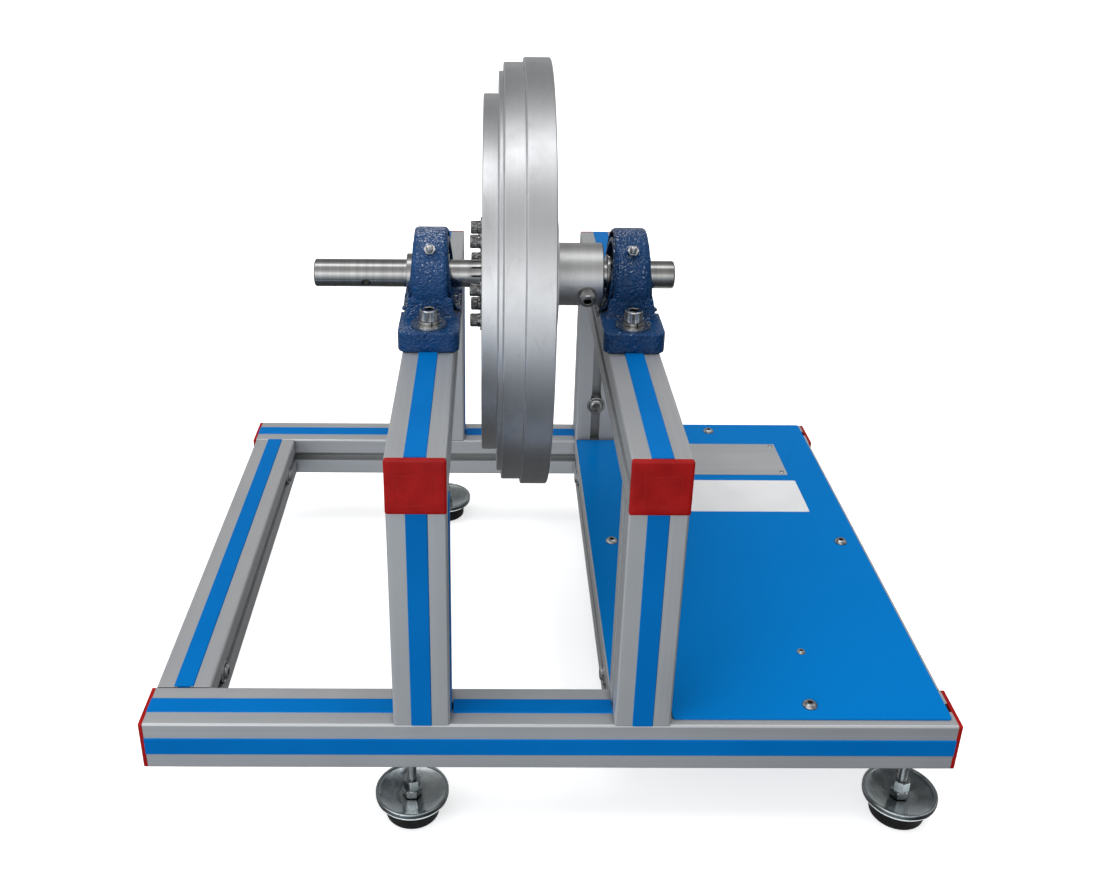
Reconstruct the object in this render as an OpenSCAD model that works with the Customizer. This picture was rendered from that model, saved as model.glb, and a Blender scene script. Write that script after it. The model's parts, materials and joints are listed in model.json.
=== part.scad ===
// Inertia flywheel on two bearing portals over a slotted-bar base.
// Millimetres. Origin: middle of the footprint on the floor. X to the right along the shaft, Y to the back, Z up.

/* [Base] */
// Length of the two long beams without their end caps
base_length = 654; // [640:2:740]
// Depth over the two long beams
base_depth = 530; // [500:5:600]
// Centre of the left portal along X
left_portal_x = -104; // [-130:1:-100]
// Centre of the right portal along X
right_portal_x = 72.5; // [72.5:0.5:84]
// Length of the portal posts
post_length = 198; // [190:2:260]
// Thickness of the sheet panel
panel_t = 2; // [1:0.5:4]
// Distance of the joint screws from the end of a bar
joint_inset = 47; // [40:1:60]

/* [Feet] */
// Front left foot along X
foot_fl_x = -115; // [-200:1:-80]
// Rear left foot along X
foot_rl_x = -106; // [-200:1:-80]
// Front right foot along X
foot_fr_x = 300; // [220:1:305]
// Rear right foot along X
foot_rr_x = 300; // [220:1:305]
// Radius of the foot plate
foot_r = 31; // [28:1:36]

/* [Flywheel] */
// Radius of the first disc, left face
disc_a_r = 158; // [120:1:170]
// Radius of the second disc
disc_b_r = 177; // [172:0.5:181]
// Radius of the third disc
disc_c_r = 184.4; // [182:0.2:187]
// Radius of the fourth disc, hub side
disc_d_r = 188.5; // [188:0.5:205]
// Thickness of the first disc
disc_a_t = 13; // [8:1:16]
// Thickness of the second disc
disc_b_t = 4; // [3:0.5:6]
// Thickness of the third disc
disc_c_t = 17; // [12:1:18]
// Thickness of the fourth disc
disc_d_t = 23; // [16:1:24]
// Radius of the hub barrel
hub_r = 28.3; // [24:0.1:34]
// Radius of the bolt circle of the discs
bolt_circle_r = 42.4; // [40:0.1:46]

/* [Shaft] */
// Shaft length to the left of the left bearing's centre
shaft_left = 105; // [80:1:150]
// Shaft length to the right of the right bearing's centre
shaft_right = 41.5; // [30:0.5:60]
// Diameter of the cross hole near the left end
cross_hole_d = 8.5; // [4:0.5:10]
// Distance of the cross hole from the left bearing's centre
cross_hole_x = 58.5; // [40:0.5:68]

/* [Hidden] */
$fn = 96;
pw = 45;             // side of a bar
hw = pw / 2;
slot_w = 10.2;       // slot opening
slot_lip = 4.5;      // lip depth
slot_in = 20.4;      // inner width
slot_d = 13;         // slot depth
core_d = 10.2;       // bore along a bar
floor_gap = 68;      // floor to the beams
base_top = floor_gap + pw;
base_mid = floor_gap + hw;
half_l = base_length / 2;
half_d = base_depth / 2;
beam_y = half_d - hw;
rail_y = half_d - pw;
rail_x = half_l - hw;
post_top = base_top + post_length;
top_z = post_top + pw;
housing_h = 44;
shaft_z = top_z + housing_h;
cap_t = 4;
shaft_d = 25;
seat_d = 24.98;                  // shaft under the bearings and the hub
hub_x0 = -1;                     // right face of the fourth disc
disc_c_x = hub_x0 - disc_d_t;
disc_b_x = disc_c_x - disc_c_t;
disc_a_x = disc_b_x - disc_b_t;
disc_x0 = disc_a_x - disc_a_t;   // left face of the first disc
hub_len = 50;
hub_screw_x = 34.5;
hub_screw_a = 111;
spigot_r = 20;
flange_r = 55;
bolt_a0 = 29.5;
washer_stack = 4.7;              // washers under a disc screw
nut_t = 7.8;
housing_t = 18;                  // base thickness of a bearing housing
bolt_y = 59.5;                   // bearing screws from the shaft line
seat_r = 31;
pitch_r = 23.8;
ball_r = 4.45;
groove_r = 4.75;
balls = 9;
ring_r = 15.9;
ring_d = 35.6;
// Centre along X, turn of the set screws, their place and the ring's end, both left of the centre.
bearings = [[left_portal_x, 118, 17, 22.2], [right_portal_x, 47, 15.4, 19.8]];
panel_x0 = right_portal_x - 21.5;
panel_xm = right_portal_x + hw + 2.9;
panel_x1 = half_l - 3.5;
panel_y = half_d - 7;
plate_x = 197.5;                 // centre of the two plates on the panel
name_size = [170, 72];
name_y = 173.5;
label_size = [180, 65.5];
label_y = 91.8;
screw_xy = [[211.5, beam_y], [rail_x, 1.5], [212, -beam_y], [right_portal_x, 1]];
small_screw = [221.5, -174];
feet = [[foot_fl_x, -beam_y], [foot_fr_x, -beam_y], [foot_rl_x, beam_y], [foot_rr_x, beam_y]];
alu = [0.78, 0.79, 0.8];
steel = [0.66, 0.67, 0.69];
dark_steel = [0.32, 0.32, 0.33];
blue = [0.02, 0.36, 0.72];
deep_blue = [0.05, 0.16, 0.36];
red = [0.7, 0.08, 0.07];
zinc = [0.75, 0.76, 0.76];
rubber = [0.07, 0.07, 0.07];

// ---- bars -------------------------------------------------------------

module slot_shape() {
  polygon([[-slot_w / 2, hw + 1], [-slot_w / 2, hw - slot_lip], [-slot_in / 2, hw - slot_lip], [-slot_in / 2, hw - 8],
    [-slot_w / 2, hw - slot_d], [slot_w / 2, hw - slot_d], [slot_in / 2, hw - 8], [slot_in / 2, hw - slot_lip],
    [slot_w / 2, hw - slot_lip], [slot_w / 2, hw + 1]]);
}

module round_square(w, d, r) {
  square([w - 2 * r, d], center = true);
  square([w, d - 2 * r], center = true);
  for (sx = [-1, 1], sy = [-1, 1]) translate([sx * (w / 2 - r), sy * (d / 2 - r)]) circle(r = r);
}

module bar_section() {
  difference() {
    round_square(pw, pw, 2);
    for (a = [0 : 90 : 270]) rotate(a) slot_shape();
    circle(d = core_d);
  }
}

module bar_x(x0, x1, y, z) {
  translate([x0, y, z]) rotate([90, 0, 90]) linear_extrude(x1 - x0) bar_section();
}

module bar_y(y0, y1, x, z) {
  translate([x, y1, z]) rotate([90, 0, 0]) linear_extrude(y1 - y0) bar_section();
}

module bar_z(z0, z1, x, y) {
  translate([x, y, z0]) linear_extrude(z1 - z0) bar_section();
}

// Frames for things on a bar face: local z points out of the face, local x runs along the bar.
module on_face_px() { rotate([90, 0, 90]) children(); }
module on_face_nx() { rotate([90, 0, -90]) children(); }
module on_rear_post(up) { rotate([90, 0, 0]) rotate(up * 90) children(); }
module on_front_post(up) { rotate([-90, 0, 0]) rotate(-up * 90) children(); }

// Seat of a joint screw: shallow counterbore over the slot and a round entry notch on the far side.
module joint_seat(both = false) {
  translate([0, 0, -1.6]) cylinder(d = 20.8, h = 3);
  translate([10.5, 0, -slot_lip - 0.2]) cylinder(d = 12.4, h = slot_lip + 1);
  if (both) translate([-10.5, 0, -slot_lip - 0.2]) cylinder(d = 12.4, h = slot_lip + 1);
}

// Joint screw with its rimmed collar and the anchor in the slot.
module joint_screw() {
  difference() {
    union() {
      rotate_extrude() polygon([[0, -1.55], [10, -1.55], [10, -0.1], [9.4, 0.6], [8.6, 0.6], [7.6, -0.4], [6.6, -0.4], [6.6, 1.5],
        [6, 2.5], [4.9, 3.2], [0, 3.2]]);
      translate([0, 0, -11]) cylinder(d = 8, h = 10);
    }
    translate([0, 0, 0.6]) cylinder(d = 6 / cos(30), h = 4, $fn = 6);
  }
  anchor(18, 7.9);
}

// T-shaped nut that fills the slot, local z = 0 at the bar's face.
module anchor(len, hole) {
  difference() {
    rotate([90, 0, 90]) linear_extrude(len, center = true)
      polygon([[-9.8, -slot_lip - 0.1], [9.8, -slot_lip - 0.1], [9.8, -7.8], [5, -12.5], [-5, -12.5], [-9.8, -7.8]]);
    if (hole > 7.9) translate([0, 0, -13]) cylinder(d = hole, h = 10);
  }
}

module foot_bore(x, y) { translate([x, y, floor_gap + 12]) cylinder(d = 9, h = 18); }

module front_beam() {
  color(alu) difference() {
    bar_x(-half_l, half_l, -beam_y, base_mid);
    foot_bore(foot_fl_x, -beam_y);
    foot_bore(foot_fr_x, -beam_y);
  }
}

module rear_beam() {
  color(alu) difference() {
    bar_x(-half_l, half_l, beam_y, base_mid);
    foot_bore(foot_rl_x, beam_y);
    foot_bore(foot_rr_x, beam_y);
  }
}

module left_rail_seats() {
  for (s = [-1, 1]) translate([-rail_x + hw, s * (rail_y - joint_inset), base_mid]) on_face_px() children();
}

module middle_rail_seats() {
  for (s = [-1, 1]) translate([right_portal_x - hw, s * (rail_y - joint_inset), base_mid]) on_face_nx() children();
}

module right_rail_seats() {
  for (s = [-1, 1]) translate([rail_x - hw, s * (rail_y - joint_inset), base_mid]) on_face_nx() children();
}

module left_rail() {
  color(alu) difference() {
    bar_y(-rail_y, rail_y, -rail_x, base_mid);
    left_rail_seats() joint_seat(true);
  }
}

module middle_rail() {
  color(alu) difference() {
    bar_y(-rail_y, rail_y, right_portal_x, base_mid);
    middle_rail_seats() joint_seat(true);
  }
}

module right_rail() {
  color(alu) difference() {
    bar_y(-rail_y, rail_y, rail_x, base_mid);
    right_rail_seats() joint_seat(true);
  }
}

module front_post_seats(x) {
  translate([x, -beam_y + hw, base_top + joint_inset]) on_front_post(1) children();
  translate([x, -beam_y + hw, post_top - joint_inset]) on_front_post(-1) children();
}

module rear_post_seats(x) {
  translate([x, beam_y - hw, base_top + joint_inset]) on_rear_post(1) children();
  translate([x, beam_y - hw, post_top - joint_inset]) on_rear_post(-1) children();
}

module front_post(x) {
  color(alu) difference() {
    bar_z(base_top, post_top, x, -beam_y);
    front_post_seats(x) joint_seat();
  }
}

module rear_post(x) {
  color(alu) difference() {
    bar_z(base_top, post_top, x, beam_y);
    rear_post_seats(x) joint_seat();
  }
}

module left_front_post() { front_post(left_portal_x); }
module right_front_post() { front_post(right_portal_x); }
module left_rear_post() { rear_post(left_portal_x); }
module right_rear_post() { rear_post(right_portal_x); }
module left_top_member() { color(alu) bar_y(-half_d, half_d, left_portal_x, post_top + hw); }
module right_top_member() { color(alu) bar_y(-half_d, half_d, right_portal_x, post_top + hw); }

module rail_connectors() {
  color(steel) {
    left_rail_seats() joint_screw();
    middle_rail_seats() joint_screw();
    right_rail_seats() joint_screw();
  }
}

module post_joint_bolts() {
  color(steel) for (x = [left_portal_x, right_portal_x]) {
    front_post_seats(x) joint_screw();
    rear_post_seats(x) joint_screw();
  }
}

// ---- caps and strips --------------------------------------------------

module cap_side() {
  linear_extrude(pw, center = true)
    polygon([[-hw, 0], [hw, 0], [hw, 3], [hw - 2.2, cap_t], [2.2 - hw, cap_t], [-hw, 3]]);
}

module cap() {
  difference() {
    intersection() {
      rotate([90, 0, 0]) cap_side();
      rotate([90, 0, 90]) cap_side();
      linear_extrude(cap_t) round_square(pw, pw, 2);
    }
    // fine square line in the face
    translate([0, -2.4, cap_t - 0.3]) linear_extrude(1) difference() {
      square([28, 25], center = true);
      square([26.6, 23.6], center = true);
    }
  }
  translate([0, 0, -12]) cylinder(d = core_d - 0.2, h = 12.5);
}

module end_caps() {
  color(red) {
    for (y = [-beam_y, beam_y]) {
      translate([half_l, y, base_mid]) rotate([90, 0, 90]) cap();
      translate([-half_l, y, base_mid]) rotate([90, 0, -90]) cap();
    }
    for (x = [left_portal_x, right_portal_x]) {
      translate([x, -half_d, post_top + hw]) rotate([90, 0, 0]) cap();
      translate([x, half_d, post_top + hw]) rotate([-90, 0, 0]) cap();
    }
  }
}

// Clip strip: local y points out of the face, y = 0 on the face.
module strip_shape() {
  polygon([[-8.3, 0], [-7.6, 0.95], [7.6, 0.95], [8.3, 0], [4.85, 0], [4.85, -4.7], [5.6, -4.9], [4.85, -6.2], [3.65, -6.2],
    [3.65, -0.9], [-3.65, -0.9], [-3.65, -6.2], [-4.85, -6.2], [-5.6, -4.9], [-4.85, -4.7], [-4.85, 0]]);
}

// Strip along X on a face that looks up (a = 0), to the front (a = 90) or to the back (a = -90).
module strip_x(x0, x1, y, z, a) {
  translate([x0, y, z]) rotate([a, 0, 0]) rotate([90, 0, 90]) linear_extrude(x1 - x0) strip_shape();
}

// Strip along Y on a face that looks up (a = 0), to the right (a = 90) or to the left (a = -90).
module strip_y(y0, y1, x, z, a) {
  translate([x, y1, z]) rotate([0, a, 0]) rotate([90, 0, 0]) linear_extrude(y1 - y0) strip_shape();
}

// Strip along Z on a face whose outward direction is turned by a from +Y.
module strip_z(z0, z1, x, y, a) {
  translate([x, y, z0]) rotate(a) linear_extrude(z1 - z0) strip_shape();
}

module base_cover_strips() {
  color(blue) {
    strip_x(-half_l, half_l, -half_d, base_mid, 90);
    strip_x(-half_l, half_l, half_d, base_mid, -90);
    for (y = [-beam_y, beam_y]) {
      strip_x(-half_l, left_portal_x - hw, y, base_top, 0);
      strip_x(left_portal_x + hw + 2.2, right_portal_x - hw, y, base_top, 0);
    }
    strip_y(-rail_y + 0.5, rail_y - 0.5, -rail_x, base_top, 0);
    strip_y(-rail_y, rail_y, -half_l, base_mid, -90);
    strip_y(-rail_y, rail_y, half_l, base_mid, 90);
  }
}

module portal_cover_strips() {
  color(blue) {
    for (x = [left_portal_x, right_portal_x]) {
      strip_z(base_top, post_top, x, -half_d, 180);
      strip_z(base_top, post_top, x, half_d, 0);
      strip_y(-half_d, -79.5, x, top_z, 0);
      strip_y(79.5, half_d, x, top_z, 0);
    }
    for (y = [-beam_y, beam_y]) strip_z(base_top, post_top, left_portal_x + hw, y, -90);
  }
}

// ---- panel and plates -------------------------------------------------

module panel_shape() {
  translate([(panel_xm + panel_x1) / 2, 1.5]) round_square(panel_x1 - panel_xm, 2 * panel_y + 3, 2.5);
  translate([(panel_x0 + panel_xm + 8) / 2, 0]) round_square(panel_xm + 8 - panel_x0, 2 * rail_y - 1.6, 1.5);
}

module base_panel() {
  color(blue) difference() {
    translate([0, 0, base_top]) linear_extrude(panel_t) panel_shape();
    for (p = screw_xy) translate([p[0], p[1], base_top - 1]) cylinder(d = 6.6, h = panel_t + 2);
    translate([small_screw[0], small_screw[1], base_top - 1]) cylinder(d = 4.4, h = panel_t + 2);
    rivet_places() translate([0, 0, -panel_t - 1]) cylinder(d = 3.3, h = panel_t + 2);
  }
}

module button_screw(d, len, head_d, head_h, hex) {
  difference() {
    union() {
      rotate_extrude() polygon([[0, 0], [head_d / 2, 0], [head_d / 2, head_h * 0.25], [head_d * 0.42, head_h * 0.65],
        [head_d * 0.3, head_h], [0, head_h]]);
      translate([0, 0, -len]) cylinder(d = d, h = len + 0.1);
    }
    translate([0, 0, head_h * 0.35]) cylinder(d = hex / cos(30), h = head_h, $fn = 6);
  }
}

module panel_screws() {
  color(zinc) {
    for (p = screw_xy) translate([p[0], p[1], base_top + panel_t]) button_screw(6, 14, 12, 3.4, 4);
    translate([small_screw[0], small_screw[1], base_top + panel_t]) button_screw(4, 8, 7.4, 2.1, 2.5);
  }
}

module plate(size, t) {
  linear_extrude(t) round_square(size[0], size[1], 1.2);
}

module rivet_places() {
  for (sx = [-1, 1], sy = [-1, 1])
    translate([plate_x + sx * (name_size[0] / 2 - 5.5), name_y + sy * (name_size[1] / 2 - 5.5), base_top + panel_t]) children();
}

module nameplate() {
  color(alu) difference() {
    translate([plate_x, name_y, base_top + panel_t]) plate(name_size, 0.8);
    rivet_places() translate([0, 0, -1]) cylinder(d = 3.3, h = 3);
  }
}

module nameplate_rivets() {
  color(zinc) rivet_places() {
    translate([0, 0, 0.8]) rotate_extrude() polygon([[0, 0], [2.8, 0], [2.5, 0.6], [1.6, 1.1], [0, 1.3]]);
    translate([0, 0, -panel_t]) cylinder(d = 3.1, h = panel_t + 1);
  }
}

module label_plate() {
  color([0.85, 0.85, 0.86]) translate([plate_x, label_y, base_top + panel_t]) plate(label_size, 0.6);
}

module slot_nuts() {
  color(zinc) {
    for (p = feet) translate([p[0], p[1], floor_gap]) rotate([180, 0, 0]) anchor(24, 8.1);
    for (x = [left_portal_x, right_portal_x], s = [-1, 1]) translate([x, s * bolt_y, top_z]) rotate(90) anchor(24, 10.1);
    for (i = [0 : 3]) translate([screw_xy[i][0], screw_xy[i][1], base_top]) rotate(i % 2 == 0 ? 0 : 90) anchor_m6();
  }
}

module anchor_m6() {
  difference() {
    anchor(18, 0);
    translate([0, 0, -13]) cylinder(d = 6.1, h = 10);
  }
}

// ---- bearings, local origin on the shaft line at the bearing's centre --

module at_bearing(x) { translate([x, 0, shaft_z]) children(); }
module both_bearings() {
  at_bearing(left_portal_x) children();
  at_bearing(right_portal_x) children();
}

// Turns a shape made around Z so that it lies around X.
module to_x() { rotate([90, 0, 90]) children(); }

module crown() {
  rotate([90, 0, 90]) rotate_extrude()
    intersection() {
      union() {
        translate([0, -12.5]) square([42, 25]);
        translate([0, -19]) square([38, 38]);
        for (s = [-1, 1]) translate([34.5, s * 10.2]) circle(r = 7.5);
      }
      translate([0, -30]) square([60, 60]);
    }
}

module housing() {
  color(deep_blue) difference() {
    union() {
      // base with rounded corners
      translate([0, 0, -housing_h]) linear_extrude(housing_t) round_square(53, 159, 9);
      // arched body, narrower towards the crown
      intersection() {
        union() {
          crown();
          rotate([90, 0, 90]) linear_extrude(60, center = true)
            polygon([[-44, -housing_h], [44, -housing_h], [44, -27], [41.6, -18], [40.6, -9], [-40.6, -9], [-41.6, -18], [-44, -27]]);
        }
        rotate([90, 0, 0]) linear_extrude(120, center = true)
          polygon([[-25, -housing_h - 1], [25, -housing_h - 1], [25, -28], [23, -25.6], [21.6, -22.4], [20.5, -17.5], [19.5, -10], [18.4, 0],
            [16.6, 18], [14.6, 43], [-14.6, 43], [-16.6, 18], [-18.4, 0], [-19.5, -10], [-20.5, -17.5], [-21.6, -22.4], [-23, -25.6],
            [-25, -28]]);
      }
      // boss of the grease nipple
      rotate([44, 0, 0]) translate([0, 0, 36]) cylinder(d = 13, h = 7);
    }
    // hollow sides between the rim and the ring seat
    for (s = [0, 1]) mirror([s, 0, 0]) rotate([90, 0, 90]) translate([0, 0, 10.4]) linear_extrude(30)
      difference() {
        union() {
          circle(r = 38.6);
          polygon([[-40.2, -housing_h + housing_t + 1.5], [40.2, -housing_h + housing_t + 1.5], [37.8, -10], [-37.8, -10]]);
        }
        circle(r = 33.6);
      }
    // seat of the ball-shaped outer ring and the way in from both sides
    sphere(r = seat_r);
    to_x() cylinder(r = 29.6, h = 60, center = true);
    // bore of the grease nipple
    rotate([44, 0, 0]) cylinder(d = 6, h = 50);
    // holes of the two screws
    for (s = [-1, 1]) translate([0, s * bolt_y, -housing_h - 1]) {
      translate([0, -1.5, 0]) cylinder(d = 17, h = housing_t + 2);
      translate([0, 1.5, 0]) cylinder(d = 17, h = housing_t + 2);
      translate([-8.5, -1.5, 0]) cube([17, 3, housing_t + 2]);
    }
  }
}

module left_bearing_housing() { at_bearing(left_portal_x) housing(); }
module right_bearing_housing() { at_bearing(right_portal_x) housing(); }

module bearing_outer_rings() {
  color(steel) both_bearings() difference() {
    intersection() {
      sphere(r = seat_r - 0.05);
      to_x() cylinder(r = 40, h = 20, center = true);
    }
    to_x() cylinder(r = 27, h = 60, center = true);
    to_x() rotate_extrude() translate([pitch_r, 0]) circle(r = groove_r);
    for (s = [0, 1]) mirror([s, 0, 0]) translate([8.4, 0, 0]) to_x() cylinder(r = 28.2, h = 10);
  }
}

module bearing_seals() {
  color(rubber) both_bearings() for (s = [0, 1]) mirror([s, 0, 0]) translate([8.5, 0, 0]) to_x() difference() {
    cylinder(r = 28.15, h = 1.2);
    translate([0, 0, -1]) cylinder(r = 18.3, h = 4);
  }
}

module bearing_inner_rings() {
  color(steel) for (b = bearings) at_bearing(b[0]) difference() {
    union() {
      translate([-b[3], 0, 0]) to_x() rotate_extrude() difference() {
        polygon([[0, 0], [ring_d / 2 - 0.6, 0], [ring_d / 2, 0.6], [ring_d / 2, b[3] + ring_r - 0.6],
          [ring_d / 2 - 0.6, b[3] + ring_r], [0, b[3] + ring_r]]);
        translate([-1, -1]) square([1, 60]);
      }
      to_x() cylinder(r = 20.6, h = 16.4, center = true);
    }
    to_x() cylinder(r = shaft_d / 2 + 0.02, h = 80, center = true);
    to_x() rotate_extrude() translate([pitch_r, 0]) circle(r = groove_r);
    set_places(b) cylinder(d = 6, h = 30);
  }
}

module set_places(b) {
  for (k = [0, 1]) translate([-b[2], 0, 0]) rotate([b[1] + 120 * k, 0, 0]) children();
}

module bearing_set_screws() {
  color(dark_steel) for (b = bearings) at_bearing(b[0]) set_places(b) difference() {
    translate([0, 0, shaft_d / 2 + 0.1]) cylinder(d = 5.9, h = 4.6);
    translate([0, 0, shaft_d / 2 + 2.2]) cylinder(d = 3 / cos(30), h = 4, $fn = 6);
  }
}

module ball_places() {
  for (k = [0 : balls - 1]) rotate([k * 360 / balls, 0, 0]) translate([0, 0, pitch_r]) children();
}

module bearing_balls() {
  color(steel) both_bearings() ball_places() sphere(r = ball_r);
}

module bearing_cages() {
  color([0.72, 0.6, 0.35]) both_bearings() difference() {
    to_x() difference() {
      cylinder(r = pitch_r + 0.9, h = 11, center = true);
      cylinder(r = pitch_r - 0.9, h = 20, center = true);
    }
    ball_places() sphere(r = ball_r + 0.05);
  }
}

module grease_nipples() {
  color(zinc) both_bearings() rotate([44, 0, 0]) {
    translate([0, 0, 34]) cylinder(d = 5.9, h = 9.5);
    translate([0, 0, 43.1]) cylinder(d = 9 / cos(30), h = 3.4, $fn = 6);
    translate([0, 0, 46.4]) rotate_extrude() polygon([[0, 0], [2.6, 0], [2.4, 1], [3.2, 2], [3.2, 3.2], [2, 4.6], [0.8, 5], [0, 4.6]]);
  }
}

// Socket screw, local z = 0 under the head.
module cap_screw(d, len, head_d, head_h, hex, deep) {
  difference() {
    union() {
      rotate_extrude() polygon([[0, 0], [head_d / 2, 0], [head_d / 2, head_h - 0.7], [head_d / 2 - 0.7, head_h], [0, head_h]]);
      translate([0, 0, -len]) cylinder(d = d, h = len + 0.1);
    }
    translate([0, 0, head_h - deep]) cylinder(d = hex / cos(30), h = deep + 1, $fn = 6);
  }
}

module spring_washer(di, dout, t) {
  difference() {
    cylinder(d = dout, h = t);
    translate([0, 0, -1]) cylinder(d = di, h = t + 2);
    translate([di / 4, -0.5, -1]) rotate([0, 0, 12]) cube([dout, 1, t + 2]);
  }
}

module flat_washer(di, dout, t) {
  difference() {
    cylinder(d = dout, h = t);
    translate([0, 0, -1]) cylinder(d = di, h = t + 2);
  }
}

module bearing_screw_places() {
  for (x = [left_portal_x, right_portal_x], s = [-1, 1]) translate([x, s * bolt_y, top_z + housing_t]) children();
}

module bearing_bolts() {
  color(steel) bearing_screw_places() translate([0, 0, 5]) cap_screw(10, 34.5, 16, 10, 8, 5.5);
}

module bearing_washers() {
  color(zinc) bearing_screw_places() {
    flat_washer(10.5, 30.6, 2.4);
    translate([0, 0, 2.45]) rotate(-80) spring_washer(10.4, 18, 2.5);
  }
}

// ---- rotor ------------------------------------------------------------

module around_shaft() { translate([0, 0, shaft_z]) to_x() children(); }

module shaft() {
  x0 = left_portal_x - shaft_left;
  x1 = right_portal_x + shaft_right;
  seat0 = shaft_left - bearings[0][3] - 1.2;
  seat1 = shaft_left + right_portal_x - left_portal_x + ring_r + 1.2;
  color(steel) difference() {
    translate([x0, 0, shaft_z]) to_x() {
      cylinder(d1 = shaft_d - 2.4, d2 = shaft_d, h = 1.2);
      translate([0, 0, 1.2]) cylinder(d = shaft_d, h = seat0 - 1.2);
      translate([0, 0, seat0]) cylinder(d1 = shaft_d, d2 = seat_d, h = 0.8);
      translate([0, 0, seat0 + 0.8]) cylinder(d = seat_d, h = seat1 - seat0 - 1.6);
      translate([0, 0, seat1 - 0.8]) cylinder(d1 = seat_d, d2 = shaft_d, h = 0.8);
      translate([0, 0, seat1]) cylinder(d = shaft_d, h = x1 - x0 - seat1 - 1.2);
      translate([0, 0, x1 - x0 - 1.2]) cylinder(d1 = shaft_d, d2 = shaft_d - 2.4, h = 1.2);
    }
    translate([left_portal_x - cross_hole_x, 0, shaft_z]) rotate([118, 0, 0]) cylinder(d = cross_hole_d, h = shaft_d + 4, center = true);
  }
}

module disc_bolt_places(x) {
  for (k = [0 : 5]) translate([x, 0, shaft_z]) rotate([bolt_a0 + 60 * k, 0, 0]) translate([0, 0, bolt_circle_r]) children();
}

module disc(x, t, r) {
  color(alu) difference() {
    translate([x, 0, shaft_z]) to_x() rotate_extrude()
      polygon([[spigot_r + 0.05, 0], [r - 0.8, 0], [r, 0.8], [r, t - 0.8], [r - 0.8, t], [spigot_r + 0.05, t]]);
    disc_bolt_places(x) rotate([0, 90, 0]) translate([0, 0, -1]) cylinder(d = 6.4, h = t + 2);
  }
}

module disc_a() { disc(disc_x0, disc_a_t, disc_a_r); }
module disc_b() { disc(disc_a_x, disc_b_t, disc_b_r); }
module disc_c() { disc(disc_b_x, disc_c_t, disc_c_r); }
module disc_d() { disc(disc_c_x, disc_d_t, disc_d_r); }

module hub() {
  color(alu) difference() {
    around_shaft() {
      translate([0, 0, disc_x0]) cylinder(r = spigot_r, h = hub_x0 - disc_x0 + 1);
      translate([0, 0, hub_x0]) cylinder(r = flange_r, h = 9);
      translate([0, 0, hub_x0 + 8]) cylinder(r = hub_r, h = hub_len - 8.8);
      translate([0, 0, hub_x0 + hub_len - 0.8]) cylinder(r1 = hub_r, r2 = hub_r - 0.8, h = 0.8);
    }
    around_shaft() translate([0, 0, disc_x0 - 1]) cylinder(r = shaft_d / 2 + 0.02, h = 200);
    disc_bolt_places(hub_x0) rotate([0, 90, 0]) translate([0, 0, -1]) cylinder(d = 6.1, h = 20);
    translate([hub_screw_x, 0, shaft_z]) rotate([hub_screw_a, 0, 0]) {
      cylinder(d = 8.2, h = 40);
      translate([0, 0, hub_r - 1.4]) cylinder(d = 16.5, h = 10);
    }
  }
}

module hub_clamp_screw() {
  color(dark_steel) translate([hub_screw_x, 0, shaft_z]) rotate([hub_screw_a, 0, 0]) translate([0, 0, hub_r - 1.35])
    cap_screw(8, hub_r - 1.35 - shaft_d / 2 - 0.1, 14, 10.5, 6, 6);
}

module disc_bolts() {
  color(dark_steel) disc_bolt_places(disc_x0 - washer_stack) rotate([0, -90, 0])
    cap_screw(6, hub_x0 + 8 - disc_x0 + washer_stack, 12, 6.6, 5, 3.6);
}

module disc_washers() {
  color(zinc) disc_bolt_places(disc_x0) rotate([0, -90, 0]) {
    flat_washer(6.4, 18.6, 2.2);
    translate([0, 0, 2.25]) rotate(40) spring_washer(6.2, 12.4, 2.4);
  }
}

// ---- feet, local origin on the floor ----------------------------------

module foot_plate() {
  color(zinc) rotate_extrude() {
    polygon([[4.1, 17.02], [foot_r - 3.4, 17.02], [foot_r - 1.6, 17.8], [foot_r - 0.4, 19.3], [foot_r, 21],
      [foot_r, 23.8], [foot_r - 1.95, 23.8], [foot_r - 3, 22.8], [24, 21.3], [16, 19.5], [10, 18.6], [4.1, 18.6]]);
    translate([foot_r - 1, 23.8]) circle(r = 1);
  }
}

module foot_pad() {
  color(rubber) rotate_extrude()
    polygon([[0, 0.6], [14, 0.6], [15, 0], [21.3, 0], [22.8, 1.5], [22.8, 15.4], [21.4, 17], [9, 17], [9, 10.5], [0, 10.5]]);
}

module foot_stud() {
  color(zinc) {
    translate([0, 0, 13.2]) cylinder(d = 14, h = 3.2);
    translate([0, 0, 15]) cylinder(d = 8, h = 68.2);
    translate([0, 0, 83.2]) cylinder(d1 = 8, d2 = 6.4, h = 0.8);
    translate([0, 0, 19]) cylinder(d = 14 / cos(30), h = 7.5, $fn = 6);
  }
}

module foot_nut() {
  color(zinc) difference() {
    intersection() {
      translate([0, 0, 26.6]) rotate(20) cylinder(d = 13 / cos(30), h = 10, $fn = 6);
      translate([0, 0, 26.6]) rotate_extrude() polygon([[0, 0], [6.8, 0], [7.6, 0.8], [7.6, 9.2], [6.8, 10], [0, 10]]);
    }
    translate([0, 0, 20]) cylinder(d = 8.04, h = 30);
  }
}

module at_foot(i) { translate([feet[i][0], feet[i][1], 0]) children(); }

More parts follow.
